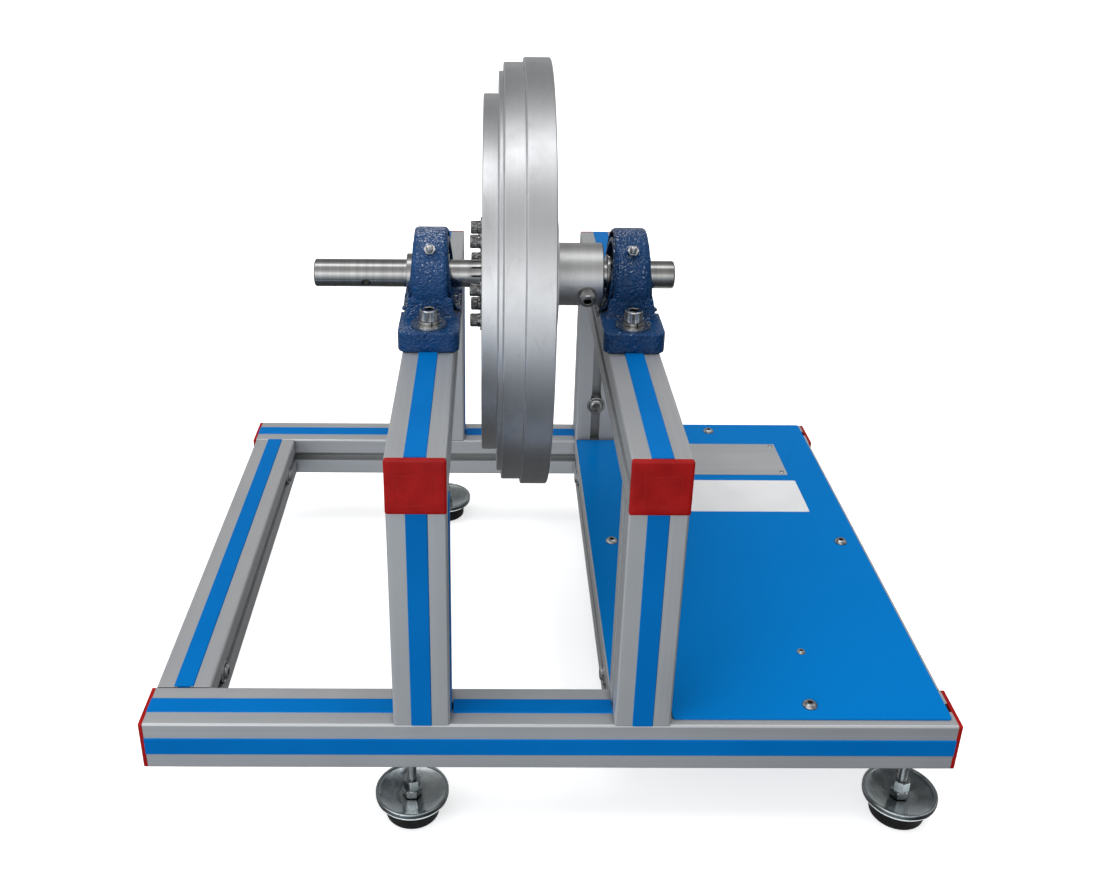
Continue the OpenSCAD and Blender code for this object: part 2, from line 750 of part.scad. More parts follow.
module foot_plate_fl() { at_foot(0) foot_plate(); }
module foot_plate_fr() { at_foot(1) foot_plate(); }
module foot_plate_rl() { at_foot(2) foot_plate(); }
module foot_plate_rr() { at_foot(3) foot_plate(); }
module foot_pad_fl() { at_foot(0) foot_pad(); }
module foot_pad_fr() { at_foot(1) foot_pad(); }
module foot_pad_rl() { at_foot(2) foot_pad(); }
module foot_pad_rr() { at_foot(3) foot_pad(); }
module foot_stud_fl() { at_foot(0) foot_stud(); }
module foot_stud_fr() { at_foot(1) foot_stud(); }
module foot_stud_rl() { at_foot(2) foot_stud(); }
module foot_stud_rr() { at_foot(3) foot_stud(); }
module foot_nut_fl() { at_foot(0) foot_nut(); }
module foot_nut_fr() { at_foot(1) foot_nut(); }
module foot_nut_rl() { at_foot(2) foot_nut(); }
module foot_nut_rr() { at_foot(3) foot_nut(); }

front_beam();
rear_beam();
left_rail();
middle_rail();
right_rail();
left_front_post();
left_rear_post();
left_top_member();
right_front_post();
right_rear_post();
right_top_member();
end_caps();
base_cover_strips();
portal_cover_strips();
base_panel();
panel_screws();
nameplate();
nameplate_rivets();
label_plate();
rail_connectors();
post_joint_bolts();
left_bearing_housing();
right_bearing_housing();
bearing_outer_rings();
bearing_seals();
bearing_bolts();
bearing_washers();
slot_nuts();
grease_nipples();
shaft();
hub();
disc_a();
disc_b();
disc_c();
disc_d();
disc_bolts();
disc_washers();
hub_clamp_screw();
bearing_inner_rings();
bearing_set_screws();
bearing_balls();
bearing_cages();
foot_plate_fl();
foot_plate_fr();
foot_plate_rl();
foot_plate_rr();
foot_pad_fl();
foot_pad_fr();
foot_pad_rl();
foot_pad_rr();
foot_stud_fl();
foot_stud_fr();
foot_stud_rl();
foot_stud_rr();
foot_nut_fl();
foot_nut_fr();
foot_nut_rl();
foot_nut_rr();
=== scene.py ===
import json
import math

import bmesh
import bpy
from mathutils import Matrix, Vector


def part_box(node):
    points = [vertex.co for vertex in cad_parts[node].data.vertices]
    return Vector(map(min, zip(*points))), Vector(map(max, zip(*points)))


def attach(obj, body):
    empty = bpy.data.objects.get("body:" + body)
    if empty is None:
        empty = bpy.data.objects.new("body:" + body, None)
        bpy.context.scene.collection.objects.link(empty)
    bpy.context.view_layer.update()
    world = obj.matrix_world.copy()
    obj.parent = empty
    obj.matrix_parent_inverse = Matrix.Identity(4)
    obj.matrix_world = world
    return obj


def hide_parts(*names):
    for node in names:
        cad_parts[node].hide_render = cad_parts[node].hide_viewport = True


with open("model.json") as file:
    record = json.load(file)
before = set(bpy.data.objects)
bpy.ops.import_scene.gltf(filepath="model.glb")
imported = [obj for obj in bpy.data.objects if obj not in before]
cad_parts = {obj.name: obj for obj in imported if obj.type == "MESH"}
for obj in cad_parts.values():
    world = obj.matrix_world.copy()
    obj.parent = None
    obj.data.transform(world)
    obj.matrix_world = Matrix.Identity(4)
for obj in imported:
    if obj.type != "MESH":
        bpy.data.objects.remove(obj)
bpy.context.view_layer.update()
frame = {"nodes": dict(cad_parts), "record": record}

NODES = frame["nodes"]
SCENE = bpy.context.scene
MM = 0.001
AXIS_Z = 0.4                      # height of the shaft line


# ---- camera -----------------------------------------------------------

def make_camera():
    pitch, yaw, roll = 0.43499227, 0.01003188, -0.00997395
    fwd = Vector((math.sin(yaw) * math.cos(pitch), math.cos(yaw) * math.cos(pitch), -math.sin(pitch)))
    right = Vector((math.cos(yaw), -math.sin(yaw), 0.0))
    down = fwd.cross(right)
    c, s = math.cos(roll), math.sin(roll)
    x = right * c + down * s
    y = right * -s + down * c
    m = Matrix.Identity(4)
    for i in range(3):
        m[i][0], m[i][1], m[i][2] = x[i], -y[i], -fwd[i]
    m.translation = Vector((-0.050322, -0.976883, 0.746926))
    data = bpy.data.cameras.new("camera")
    data.sensor_fit = "HORIZONTAL"
    data.sensor_width = 36.0
    data.lens = 1143.215 * 36.0 / 1100.0
    data.shift_x = (550.0 - 501.254) / 1100.0
    data.shift_y = -(444.0 - 381.115) / 1100.0
    data.clip_start, data.clip_end = 0.02, 400.0
    cam = bpy.data.objects.new("camera", data)
    SCENE.collection.objects.link(cam)
    cam.matrix_world = m
    SCENE.camera = cam


make_camera()


# ---- node helper ------------------------------------------------------

class Mat:
    """A material and short ways to add nodes to it. Coordinates are the part's own, in metres."""

    def __init__(self, name, **shader):
        self.m = bpy.data.materials.new(name)
        self.m.use_nodes = True
        self.t = self.m.node_tree
        self.t.nodes.clear()
        self.out = self.t.nodes.new("ShaderNodeOutputMaterial")
        self.s = self.t.nodes.new("ShaderNodeBsdfPrincipled")
        self.t.links.new(self.s.outputs[0], self.out.inputs[0])
        for k, v in shader.items():
            self.s.inputs[k.replace("_", " ")].default_value = v
        self._co = None

    def put(self, sock, v):
        if isinstance(v, bpy.types.NodeSocket):
            self.t.links.new(v, sock)
        elif isinstance(v, (int, float)) and sock.type in ("RGBA", "VECTOR"):
            sock.default_value = (v, v, v, 1.0) if sock.type == "RGBA" else (v, v, v)
        elif sock.type == "RGBA" and len(v) == 3:
            sock.default_value = (*v, 1.0)
        else:
            sock.default_value = v

    def set(self, **links):
        for k, v in links.items():
            self.put(self.s.inputs[k.replace("_", " ")], v)

    def co(self):
        if self._co is None:
            self._co = self.t.nodes.new("ShaderNodeTexCoord").outputs["Object"]
        return self._co

    def stretch(self, x, y, z, at=(0, 0, 0)):
        n = self.t.nodes.new("ShaderNodeMapping")
        n.vector_type = "POINT"
        self.put(n.inputs["Vector"], self.co())
        n.inputs["Location"].default_value = at
        n.inputs["Scale"].default_value = (x, y, z)
        return n.outputs[0]

    def noise(self, vec, scale=1.0, detail=2.0, rough=0.5, warp=0.0):
        n = self.t.nodes.new("ShaderNodeTexNoise")
        self.put(n.inputs["Vector"], vec)
        n.inputs["Scale"].default_value = scale
        n.inputs["Detail"].default_value = detail
        n.inputs["Roughness"].default_value = rough
        n.inputs["Distortion"].default_value = warp
        return n.outputs["Fac"]

    def cells(self, vec, scale, feature="F1", smooth=0.0):
        n = self.t.nodes.new("ShaderNodeTexVoronoi")
        n.feature = feature
        self.put(n.inputs["Vector"], vec)
        n.inputs["Scale"].default_value = scale
        if feature == "SMOOTH_F1":
            n.inputs["Smoothness"].default_value = smooth
        return n.outputs["Distance"]

    def math(self, op, a, b=0.0, c=0.0, clamp=False):
        n = self.t.nodes.new("ShaderNodeMath")
        n.operation = op
        n.use_clamp = clamp
        for sock, v in zip(n.inputs, (a, b, c)):
            self.put(sock, v)
        return n.outputs[0]

    def span(self, v, a, b, lo=0.0, hi=1.0, smooth=True):
        n = self.t.nodes.new("ShaderNodeMapRange")
        n.interpolation_type = "SMOOTHSTEP" if smooth else "LINEAR"
        self.put(n.inputs["Value"], v)
        n.inputs["From Min"].default_value = a
        n.inputs["From Max"].default_value = b
        n.inputs["To Min"].default_value = lo
        n.inputs["To Max"].default_value = hi
        return n.outputs["Result"]

    def mix(self, f, a, b, mode="MIX"):
        n = self.t.nodes.new("ShaderNodeMix")
        n.data_type = "RGBA"
        n.blend_type = mode
        self.put(n.inputs["Factor"], f)
        self.put(n.inputs[6], a)
        self.put(n.inputs[7], b)
        return n.outputs[2]

    def parts(self, vec):
        n = self.t.nodes.new("ShaderNodeSeparateXYZ")
        self.put(n.inputs[0], vec)
        return n.outputs

    def vec(self, x, y, z):
        n = self.t.nodes.new("ShaderNodeCombineXYZ")
        for sock, v in zip(n.inputs, (x, y, z)):
            self.put(sock, v)
        return n.outputs[0]

    def bump(self, height, strength=1.0, dist=0.0001, normal=None):
        n = self.t.nodes.new("ShaderNodeBump")
        n.inputs["Strength"].default_value = strength
        n.inputs["Distance"].default_value = dist
        self.put(n.inputs["Height"], height)
        if normal is not None:
            self.put(n.inputs["Normal"], normal)
        return n.outputs[0]

    def edge(self, radius, lo=0.02, hi=0.25):
        """1 on edges, 0 on flat ground, from a rounded normal against the true one."""
        b = self.t.nodes.new("ShaderNodeBevel")
        b.samples = 4
        b.inputs["Radius"].default_value = radius
        g = self.t.nodes.new("ShaderNodeNewGeometry")
        d = self.t.nodes.new("ShaderNodeVectorMath")
        d.operation = "DOT_PRODUCT"
        self.put(d.inputs[0], b.outputs[0])
        self.put(d.inputs[1], g.outputs["Normal"])
        return self.span(self.math("SUBTRACT", 1.0, d.outputs["Value"]), lo, hi)

    def painted_cavity_shade(self, reach, lo, hi, amount):
        """Painted shade: 0 in the open, up to amount deep in slots, sockets and corners, as ambient occlusion finds
        them.
        """
        n = self.t.nodes.new("ShaderNodeAmbientOcclusion")
        n.samples = 4
        n.inputs["Distance"].default_value = reach
        return self.span(n.outputs["AO"], lo, hi, amount, 0.0)

    def around_x(self):
        n = self.t.nodes.new("ShaderNodeTangent")
        n.direction_type = "RADIAL"
        n.axis = "X"
        self.put(self.s.inputs["Tangent"], n.outputs[0])

    def radius_x(self):
        """Distance from the shaft line."""
        p = self.parts(self.co())
        z = self.math("SUBTRACT", p[2], AXIS_Z)
        return self.math("SQRT", self.math("ADD", self.math("MULTIPLY", p[1], p[1]), self.math("MULTIPLY", z, z)))


# ---- materials --------------------------------------------------------

def anodised(name, along):
    """Natural anodised bar: satin, faint die lines along the bar, cloudy oxide, a few handling marks, a painted
    highlight on the edges and painted shade in the slots.
    """
    m = Mat(name, Metallic=0.74, Roughness=0.46, Specular_IOR_Level=0.4)
    fine = {"x": (2.2, 1500, 1500), "y": (1500, 2.2, 1500), "z": (1500, 1500, 2.2)}[along]
    wide = {"x": (0.8, 210, 210), "y": (210, 0.8, 210), "z": (210, 210, 0.8)}[along]
    a = m.noise(m.stretch(*fine), 1.0, 2.0, 0.6)
    b = m.noise(m.stretch(*wide), 1.0, 2.0, 0.5)
    cloud = m.noise(m.co(), 9.0, 3.0, 0.55)
    grain = m.noise(m.co(), 2600.0, 2.0, 0.6)
    lines = m.math("ADD", m.math("MULTIPLY", a, 0.5), m.math("MULTIPLY", b, 0.5))
    tone = m.mix(m.span(lines, 0.3, 0.7), (0.67, 0.685, 0.7), (0.73, 0.745, 0.76))
    tone = m.mix(m.span(cloud, 0.35, 0.7, 0.0, 0.5), tone, (0.73, 0.73, 0.72))
    marks = m.span(m.noise(m.stretch(60, 60, 60, (3, 1, 7)), 1.0, 5.0, 0.7), 0.66, 0.74, 0.0, 0.3)
    tone = m.mix(marks, tone, (0.8, 0.8, 0.8))
    tone = m.mix(m.span(grain, 0.35, 0.7, 0.0, 0.16), tone, (0.52, 0.54, 0.56))
    # painted highlight: the edges are mixed lighter all along
    tone = m.mix(m.math("MULTIPLY", m.edge(0.0005, 0.03, 0.3), 0.5), tone, (0.85, 0.86, 0.87))
    # painted shade: slots, sockets and corners darkened almost to black by ambient occlusion
    tone = m.mix(m.painted_cavity_shade(0.013, 0.14, 0.76, 0.95), tone, (0.022, 0.024, 0.024))
    rough = m.math("ADD", m.span(lines, 0.2, 0.8, 0.43, 0.5), m.span(cloud, 0.3, 0.7, -0.03, 0.04))
    m.set(Base_Color=tone, Roughness=rough)
    n = m.bump(lines, 0.16, 0.00006)
    m.set(Normal=m.bump(grain, 0.14, 0.00004, n))
    return m.m


def strip_plastic():
    """Extruded cover strip: satin blue plastic with faint drawing lines and scuffs, and a painted highlight along its
    edges.
    """
    m = Mat("blue_strip", Roughness=0.34, Specular_IOR_Level=0.05)
    cloud = m.noise(m.co(), 14.0, 3.0, 0.5)
    fine = m.noise(m.co(), 900.0, 2.0, 0.6)
    tone = m.mix(m.span(cloud, 0.3, 0.7), (0.0003, 0.153, 0.485), (0.0006, 0.167, 0.52))
    scuff = m.span(m.noise(m.stretch(45, 70, 60, (5, 2, 1)), 1.0, 6.0, 0.75), 0.66, 0.76, 0.0, 0.22)
    tone = m.mix(scuff, tone, (0.03, 0.2, 0.52))
    # painted highlight: the strip's edges are mixed a lighter blue
    tone = m.mix(m.edge(0.0004, 0.03, 0.3), tone, (0.02, 0.22, 0.6))
    m.set(Base_Color=tone, Roughness=m.math("ADD", m.span(fine, 0.3, 0.7, 0.3, 0.38), m.math("MULTIPLY", scuff, 0.5)))
    wave = m.noise(m.co(), 60.0, 2.0, 0.4)
    m.set(Normal=m.bump(fine, 0.1, 0.00004, m.bump(wave, 0.12, 0.0004)))
    return m.m


def panel_lacquer():
    """Lacquered sheet: glossy, slight orange peel, painted shade darkening its edges."""
    m = Mat("blue_panel", Roughness=0.17, Specular_IOR_Level=0.05)
    cloud = m.noise(m.co(), 5.0, 2.0, 0.5)
    peel = m.noise(m.co(), 420.0, 2.0, 0.5)
    speck = m.span(m.noise(m.co(), 1900.0, 1.0, 0.5), 0.74, 0.8, 0.0, 0.2)
    tone = m.mix(m.span(cloud, 0.3, 0.7), (0.0003, 0.186, 0.565), (0.0006, 0.196, 0.59))
    tone = m.mix(speck, tone, (0.02, 0.26, 0.62))
    # painted shade: the sheet's edges are mixed a darker blue
    tone = m.mix(m.edge(0.0005, 0.03, 0.3), tone, (0.01, 0.12, 0.34))
    wipe = m.noise(m.stretch(22, 4, 10, (1, 1, 1)), 1.0, 4.0, 0.65)
    m.set(Base_Color=tone, Roughness=m.span(wipe, 0.35, 0.7, 0.14, 0.24))
    m.set(Normal=m.bump(peel, 0.1, 0.0001))
    return m.m


def cap_plastic():
    """Moulded end cap: deep red, glossy, fine spark texture, rubbed corners, paler and rougher, that also paint a
    highlight along the edges.
    """
    m = Mat("red_cap", Roughness=0.26, Specular_IOR_Level=0.22)
    cloud = m.noise(m.co(), 60.0, 3.0, 0.5)
    spark = m.noise(m.co(), 2600.0, 2.0, 0.5)
    tone = m.mix(m.span(cloud, 0.3, 0.7), (0.33, 0.0042, 0.0038), (0.42, 0.0075, 0.0062))
    # rubbed edges, paler and rougher, which also serve as a painted highlight along the edges
    edge_rub_and_sheen = m.math("MULTIPLY", m.edge(0.0009, 0.05, 0.35), m.span(m.noise(m.co(), 300.0, 3.0, 0.6), 0.35, 0.6))
    tone = m.mix(m.math("MULTIPLY", edge_rub_and_sheen, 0.55), tone, (0.6, 0.08, 0.07))
    m.set(Base_Color=tone, Roughness=m.math("ADD", m.span(spark, 0.3, 0.7, 0.2, 0.33), m.math("MULTIPLY", edge_rub_and_sheen, 0.15)))
    m.set(Normal=m.bump(spark, 0.14, 0.00005, m.bump(cloud, 0.1, 0.0005)))
    return m.m


def cast_paint():
    """Cast iron under thick hammered paint: pebbled bumps, glossy, a painted highlight along the edges broken up by
    noise, painted shade in the hollows.
    """
    m = Mat("cast_housing", Roughness=0.2, Specular_IOR_Level=0.08, Coat_Weight=0.5, Coat_Roughness=0.05)
    pebble = m.cells(m.co(), 480.0, "SMOOTH_F1", 0.45)
    coarse = m.noise(m.co(), 330.0, 2.0, 0.5, 0.5)
    lump = m.noise(m.co(), 120.0, 3.0, 0.55, 0.4)
    fine = m.noise(m.co(), 1700.0, 2.0, 0.55)
    tone = m.mix(m.span(lump, 0.3, 0.7), (0.002, 0.031, 0.108), (0.0036, 0.045, 0.148))
    tone = m.mix(m.span(pebble, 0.1, 0.6, 0.0, 0.5), tone, (0.006, 0.066, 0.205))
    # painted highlight: the edges are mixed lighter, broken up by noise
    edge_rub_and_sheen = m.math("MULTIPLY", m.edge(0.0016, 0.03, 0.3), m.span(fine, 0.4, 0.62))
    tone = m.mix(m.math("MULTIPLY", edge_rub_and_sheen, 0.6), tone, (0.07, 0.16, 0.29))
    chip = m.span(m.noise(m.stretch(420, 420, 420, (2, 5, 3)), 1.0, 4.0, 0.7), 0.74, 0.78)
    tone = m.mix(m.math("MULTIPLY", chip, 0.35), tone, (0.12, 0.16, 0.22))
    # painted shade: hollows and corners darkened to near black navy by ambient occlusion
    tone = m.mix(m.painted_cavity_shade(0.012, 0.2, 0.8, 0.6), tone, (0.001, 0.006, 0.02))
    m.set(Base_Color=tone, Roughness=m.span(fine, 0.3, 0.7, 0.13, 0.26))
    n = m.bump(lump, 0.6, 0.0014)
    n = m.bump(coarse, 0.9, 0.0011, n)
    n = m.bump(pebble, 1.0, 0.0009, n)
    m.set(Normal=m.bump(fine, 0.3, 0.0001, n), Coat_Normal=n)
    return m.m


def turned(name, tone_a, tone_b, rough, aniso=0.5, lines=1.0):
    """Turned metal: fine tool rings round the shaft line, smudges, light spread across the rings."""
    m = Mat(name, Metallic=1.0, Roughness=rough, Anisotropic=aniso, Anisotropic_Rotation=0.25)
    m.around_x()
    p = m.parts(m.co())
    r = m.radius_x()
    rings = m.noise(m.vec(m.math("MULTIPLY", p[0], 2600.0), m.math("MULTIPLY", r, 2600.0), 0.5), 1.0, 2.0, 0.65)
    bands = m.noise(m.vec(m.math("MULTIPLY", p[0], 160.0), m.math("MULTIPLY", r, 160.0), 3.5), 1.0, 2.0, 0.5)
    smudge = m.noise(m.co(), 26.0, 5.0, 0.62, 0.6)
    blot = m.noise(m.stretch(90, 34, 34, (7, 3, 5)), 1.0, 5.0, 0.7, 0.8)
    speck = m.noise(m.co(), 1500.0, 2.0, 0.6)
    tone = m.mix(m.span(m.math("ADD", m.math("MULTIPLY", rings, 0.4), m.math("MULTIPLY", bands, 0.6)), 0.32, 0.68), tone_a, tone_b)
    tone = m.mix(m.span(smudge, 0.45, 0.75, 0.0, 0.35), tone, tuple(c * 0.84 for c in tone_a))
    tone = m.mix(m.span(blot, 0.56, 0.7, 0.0, 0.3), tone, tuple(c * 0.74 for c in tone_a))
    tone = m.mix(m.span(speck, 0.6, 0.74, 0.0, 0.22), tone, tuple(min(1.0, c * 1.12) for c in tone_b))
    m.set(Base_Color=tone)
    m.set(Roughness=m.math("ADD", m.span(smudge, 0.3, 0.75, rough - 0.03, rough + 0.06), m.span(blot, 0.55, 0.7, 0.0, 0.05)))
    n = m.bump(rings, 0.1 * lines, 0.00004)
    m.set(Normal=m.bump(speck, 0.1, 0.00004, n))
    return m.m


def ground_shaft():
    """Ground and polished shaft: tight circumferential lines, a few bright scratches and finger marks."""
    m = Mat("ground_shaft", Metallic=1.0, Roughness=0.12, Anisotropic=0.3, Anisotropic_Rotation=0.25)
    m.around_x()
    p = m.parts(m.co())
    rings = m.noise(m.vec(m.math("MULTIPLY", p[0], 4200.0), 0.0, 0.0), 1.0, 2.0, 0.7)
    bands = m.noise(m.vec(m.math("MULTIPLY", p[0], 140.0), 0.0, 2.0), 1.0, 3.0, 0.6)
    marks = m.noise(m.co(), 55.0, 5.0, 0.65, 0.8)
    tone = m.mix(m.span(bands, 0.3, 0.7), (0.42, 0.42, 0.41), (0.55, 0.55, 0.54))
    tone = m.mix(m.span(marks, 0.5, 0.75, 0.0, 0.45), tone, (0.44, 0.43, 0.4))
    scratch = m.span(m.noise(m.stretch(900, 60, 60, (1, 3, 2)), 1.0, 3.0, 0.8, 1.5), 0.7, 0.73, 0.0, 0.5)
    tone = m.mix(scratch, tone, (0.85, 0.85, 0.84))
    m.set(Base_Color=tone)
    m.set(Roughness=m.math("ADD", m.span(marks, 0.35, 0.75, 0.08, 0.18), m.span(rings, 0.3, 0.7, -0.01, 0.03)))
    m.set(Normal=m.bump(rings, 0.2, 0.00003))
    return m.m


def plated(name, tone_a, tone_b, rough, spread=0.1, tint=(0.5, 0.52, 0.42), tint_amount=0.25, scale=120.0):
    """Zinc or nickel plating: cloudy passivation, faint tint, fine scratches, painted shade in the recesses."""
    m = Mat(name, Metallic=1.0, Roughness=rough)
    cloud = m.noise(m.co(), scale, 4.0, 0.6, 0.4)
    other = m.noise(m.stretch(scale * 0.6, scale * 0.6, scale * 0.6, (4, 2, 9)), 1.0, 3.0, 0.5)
    fine = m.noise(m.co(), scale * 14, 2.0, 0.6)
    tone = m.mix(m.span(cloud, 0.3, 0.72), tone_a, tone_b)
    tone = m.mix(m.span(other, 0.48, 0.72, 0.0, tint_amount), tone, tint)
    # painted shade: recesses and sockets darkened almost to black by ambient occlusion
    tone = m.mix(m.painted_cavity_shade(0.007, 0.15, 0.8, 0.94), tone, (0.012, 0.012, 0.012))
    m.set(Base_Color=tone)
    m.set(Roughness=m.math("ADD", m.span(cloud, 0.3, 0.7, rough, rough + spread), m.span(fine, 0.35, 0.7, -0.02, 0.03)))
    m.set(Normal=m.bump(fine, 0.14, 0.00004))
    return m.m


def dish_zinc():
    """Pressed and plated foot plate: mirror-like, drawing rings, faint wash marks, painted shade in the hollows."""
    m = Mat("zinc_dish", Metallic=1.0, Roughness=0.2)
    cloud = m.noise(m.co(), 90.0, 4.0, 0.6, 0.5)
    wave = m.noise(m.co(), 260.0, 2.0, 0.5)
    fine = m.noise(m.co(), 2200.0, 2.0, 0.6)
    tone = m.mix(m.span(cloud, 0.3, 0.7), (0.5, 0.56, 0.58), (0.68, 0.73, 0.75))
    tone = m.mix(m.span(m.noise(m.co(), 35.0, 2.0, 0.5), 0.45, 0.7, 0.0, 0.3), tone, (0.56, 0.6, 0.52))
    drop = m.span(m.noise(m.stretch(700, 700, 700, (1, 6, 2)), 1.0, 2.0, 0.5), 0.66, 0.7, 0.0, 0.6)
    tone = m.mix(drop, tone, (0.16, 0.17, 0.18))
    # painted shade: hollows and corners darkened by ambient occlusion
    tone = m.mix(m.painted_cavity_shade(0.02, 0.3, 0.95, 0.7), tone, (0.03, 0.035, 0.035))
    m.set(Base_Color=tone)
    m.set(Roughness=m.math("ADD", m.span(cloud, 0.35, 0.75, 0.12, 0.24), m.span(fine, 0.4, 0.7, 0.0, 0.03)))
    m.set(Normal=m.bump(fine, 0.08, 0.00003, m.bump(wave, 0.16, 0.00012)))
    return m.m


def brushed_plate():
    """Bare nameplate: lengthwise brushing under a thin clear film."""
    m = Mat("name_plate", Metallic=0.7, Roughness=0.5, Anisotropic=0.3, Specular_IOR_Level=0.3)
    line = m.noise(m.stretch(14, 2400, 900), 1.0, 3.0, 0.65)
    broad = m.noise(m.stretch(5, 160, 50, (2, 2, 2)), 1.0, 2.0, 0.5)
    tone = m.mix(m.span(line, 0.3, 0.7), (0.66, 0.675, 0.69), (0.74, 0.755, 0.77))
    tone = m.mix(m.span(broad, 0.4, 0.7, 0.0, 0.3), tone, (0.8, 0.81, 0.82))
    m.set(Base_Color=tone, Roughness=m.span(line, 0.3, 0.7, 0.45, 0.55))
    m.set(Normal=m.bump(line, 0.2, 0.00004))
    return m.m


def label_white():
    """Bare white label: satin laminate with a faint leathery ripple."""
    m = Mat("white_label", Roughness=0.38, Specular_IOR_Level=0.35)
    cloud = m.noise(m.co(), 22.0, 3.0, 0.5)
    ripple = m.noise(m.co(), 520.0, 2.0, 0.5)
    tone = m.mix(m.span(cloud, 0.3, 0.7), (0.84, 0.845, 0.85), (0.9, 0.9, 0.905))
    tone = m.mix(m.edge(0.0005, 0.05, 0.4), tone, (0.66, 0.67, 0.68))
    m.set(Base_Color=tone, Roughness=m.span(ripple, 0.3, 0.7, 0.32, 0.44))
    m.set(Normal=m.bump(ripple, 0.1, 0.00008))
    return m.m


def rubber():
    m = Mat("black_rubber", Roughness=0.62, Specular_IOR_Level=0.12)
    dust = m.noise(m.co(), 130.0, 5.0, 0.7)
    fine = m.noise(m.co(), 1800.0, 2.0, 0.6)
    low = m.span(m.parts(m.co())[2], 0.0, 0.004, 0.2, 0.0)
    tone = m.mix(m.span(dust, 0.45, 0.75, 0.0, 0.4), (0.004, 0.004, 0.0045), (0.02, 0.02, 0.02))
    tone = m.mix(low, tone, (0.05, 0.049, 0.046))
    m.set(Base_Color=tone, Roughness=m.span(fine, 0.3, 0.7, 0.5, 0.75))
    m.set(Normal=m.bump(fine, 0.25, 0.0001))
    return m.m


def brass():
    m = Mat("cage_brass", Metallic=1.0, Roughness=0.3)
    cloud = m.noise(m.co(), 140.0, 4.0, 0.6)
    fine = m.noise(m.co(), 1500.0, 2.0, 0.6)
    m.set(Base_Color=m.mix(m.span(cloud, 0.3, 0.7), (0.55, 0.38, 0.14), (0.68, 0.5, 0.2)))
    m.set(Roughness=m.span(cloud, 0.3, 0.7, 0.25, 0.4), Normal=m.bump(fine, 0.15, 0.00005))
    return m.m


BAR = {a: anodised("anodised_bar_" + a, a) for a in "xyz"}
MATS = {
    "red_cap": cap_plastic(),
    "blue_strip": strip_plastic(),
    "blue_panel": panel_lacquer(),
    "bright_screw": plated("bright_screw", (0.62, 0.63, 0.64), (0.78, 0.79, 0.8), 0.16, 0.1, (0.55, 0.55, 0.5), 0.2),
    "name_plate": brushed_plate(),
    "white_label": label_white(),
    "cast_housing": cast_paint(),
    "bearing_steel": turned("bearing_steel", (0.4, 0.4, 0.39), (0.56, 0.56, 0.55), 0.15, 0.3),
    "black_rubber": rubber(),
    "dark_screw": plated("dark_screw", (0.46, 0.46, 0.45), (0.76, 0.76, 0.74), 0.13, 0.08, (0.24, 0.24, 0.235), 0.4, 260.0),
    "black_screw": plated("black_screw", (0.13, 0.13, 0.13), (0.42, 0.42, 0.41), 0.13, 0.1, (0.06, 0.06, 0.06), 0.6, 260.0),
    "dark_washer": plated("dark_washer", (0.2, 0.2, 0.195), (0.5, 0.5, 0.49), 0.15, 0.12, (0.1, 0.1, 0.095), 0.5, 240.0),
    "washer_steel": plated("washer_steel", (0.56, 0.56, 0.55), (0.72, 0.72, 0.7), 0.2, 0.12, (0.42, 0.41, 0.37), 0.35, 200.0),
    "zinc": plated("zinc", (0.56, 0.6, 0.62), (0.74, 0.77, 0.78), 0.17, 0.12, (0.58, 0.62, 0.5), 0.3, 150.0),
    "zinc_dish": dish_zinc(),
    "ground_shaft": ground_shaft(),
    "turned_disc": turned("turned_disc", (0.82, 0.83, 0.84), (0.89, 0.9, 0.91), 0.42, 0.45),
    "hub_satin": turned("hub_satin", (0.75, 0.75, 0.745), (0.85, 0.85, 0.84), 0.44, 0.2, 0.6),
    "cage_brass": brass(),
}
SLOT_OF = {s["node"]: s["material_slot"] for s in frame["record"]["subparts"]}


# ---- CAD nodes: smooth shading, rounded edges, materials ---------------

def clean_group():
    g = bpy.data.node_groups.new("clean", "GeometryNodeTree")
    g.interface.new_socket("Geometry", in_out="INPUT", socket_type="NodeSocketGeometry")
    g.interface.new_socket("Geometry", in_out="OUTPUT", socket_type="NodeSocketGeometry")
    i, o = g.nodes.new("NodeGroupInput"), g.nodes.new("NodeGroupOutput")
    r = g.nodes.new("GeometryNodeRemoveAttribute")
    r.inputs["Name"].default_value = "custom_normal"
    m = g.nodes.new("GeometryNodeMergeByDistance")
    m.inputs["Distance"].default_value = 2e-6
    g.links.new(i.outputs[0], r.inputs[0])
    g.links.new(r.outputs[0], m.inputs[0])
    g.links.new(m.outputs[0], o.inputs[0])
    return g


def smooth_group(deg):
    g = bpy.data.node_groups.new("smooth_by_angle", "GeometryNodeTree")
    g.interface.new_socket("Geometry", in_out="INPUT", socket_type="NodeSocketGeometry")
    g.interface.new_socket("Geometry", in_out="OUTPUT", socket_type="NodeSocketGeometry")
    i, o = g.nodes.new("NodeGroupInput"), g.nodes.new("NodeGroupOutput")
    a = g.nodes.new("GeometryNodeInputMeshEdgeAngle")
    c = g.nodes.new("FunctionNodeCompare")
    c.data_type, c.operation = "FLOAT", "LESS_EQUAL"
    c.inputs["B"].default_value = math.radians(deg)
    g.links.new(a.outputs[0], c.inputs["A"])
    e = g.nodes.new("GeometryNodeSetShadeSmooth")
    e.domain = "EDGE"
    f = g.nodes.new("GeometryNodeSetShadeSmooth")
    f.domain = "FACE"
    f.inputs["Shade Smooth"].default_value = True
    g.links.new(i.outputs[0], e.inputs["Geometry"])
    g.links.new(c.outputs[0], e.inputs["Shade Smooth"])
    g.links.new(e.outputs[0], f.inputs["Geometry"])
    g.links.new(f.outputs[0], o.inputs[0])
    return g


CLEAN, SMOOTH = clean_group(), smooth_group(30)

